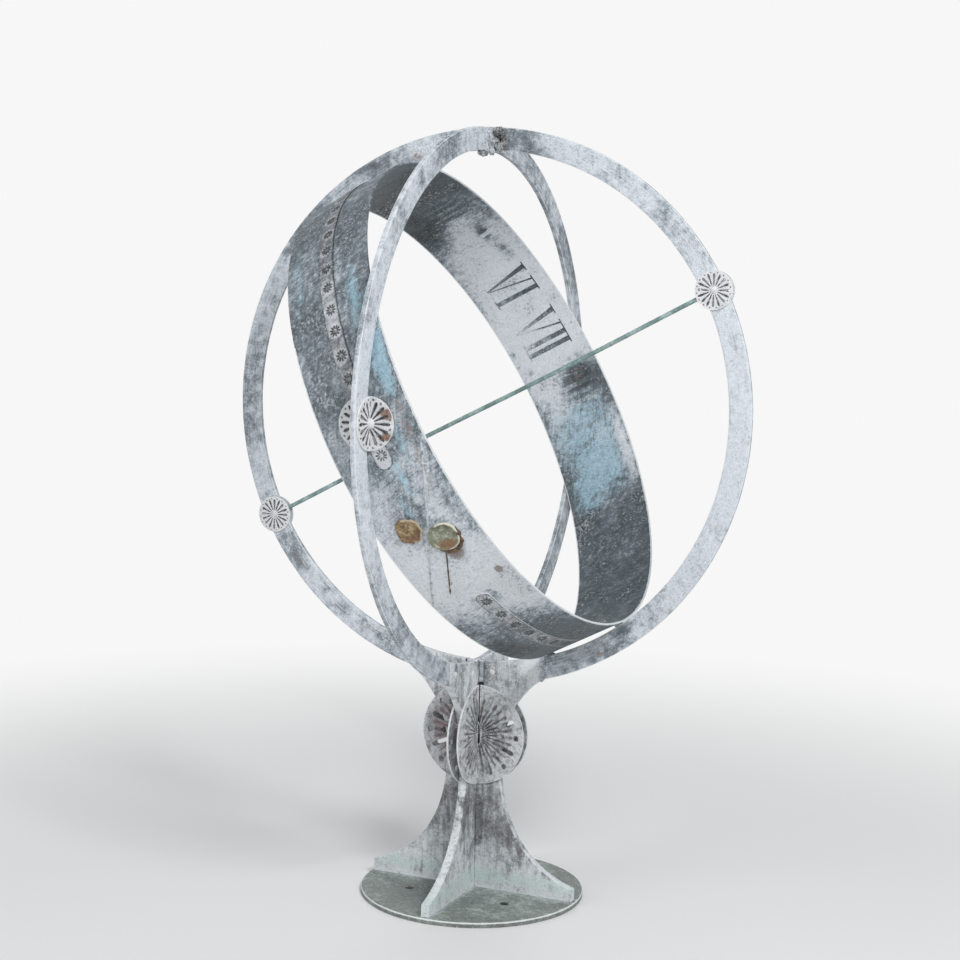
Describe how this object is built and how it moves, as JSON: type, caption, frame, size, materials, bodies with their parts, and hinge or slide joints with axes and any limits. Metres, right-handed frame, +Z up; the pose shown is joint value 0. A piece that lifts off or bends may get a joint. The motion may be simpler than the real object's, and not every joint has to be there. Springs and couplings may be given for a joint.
{
  "type": "armillary sphere",
  "caption": "Armillary sphere sundial: two upright rings, a broad inclined hour band and a polar rod, on a finned pedestal with a round base.",
  "frame": {"origin": "centre of the base plate's underside", "axes": "+Z up along the pedestal, +X north, in the meridian ring's plane on the side of the rod's upper end, +Y west"},
  "size_m": [0.6099, 0.61, 0.85],
  "materials": {
    "ring_bronze": "weathered bronze with pale blue-grey patina",
    "band_bronze": "weathered bronze sheet with dark and pale blue-grey patina",
    "strap_bronze": "dark weathered bronze strip",
    "solder": "rough corroded solder",
    "rosette_bronze": "weathered pierced bronze",
    "pedestal_bronze": "weathered bronze with white and green patina",
    "rod_verdigris": "blue-green verdigris"
  },
  "bodies": {
    "sphere_and_pedestal": {"band_solder_beads": "solder", "base_plate": "pedestal_bronze", "colure_ring_east": "ring_bronze", "colure_ring_west": "ring_bronze", "crown_fillets": "solder", "east_crossing_rosette_north": "rosette_bronze", "east_crossing_rosette_south": "rosette_bronze", "east_west_fin": "pedestal_bronze", "equatorial_band": "band_bronze", "medallion_north_east": "rosette_bronze", "medallion_north_west": "rosette_bronze", "medallion_south_east": "rosette_bronze", "medallion_south_west": "rosette_bronze", "meridian_ring": "ring_bronze", "north_fin": "pedestal_bronze", "north_pole_rosette_east": "rosette_bronze", "north_pole_rosette_west": "rosette_bronze", "pole_rivets": "rosette_bronze", "saddle_rivets": "rosette_bronze", "solder_pads": "solder", "south_fin": "pedestal_bronze", "south_pole_rosette_east": "rosette_bronze", "south_pole_rosette_west": "rosette_bronze", "star_strap_east_lower": "strap_bronze", "star_strap_east_upper": "strap_bronze", "star_strap_west": "strap_bronze", "west_crossing_rosette_north": "rosette_bronze", "west_crossing_rosette_south": "rosette_bronze"},
    "rod": {"gnomon_rod": "rod_verdigris"}
  },
  "joints": [
    {"name": "rod_turn", "type": "hinge", "parent": "sphere_and_pedestal", "child": "rod", "pos_m": [0, 0, 0.545], "axis": [0.887, 0, 0.4617], "continuous": true}
  ]
}
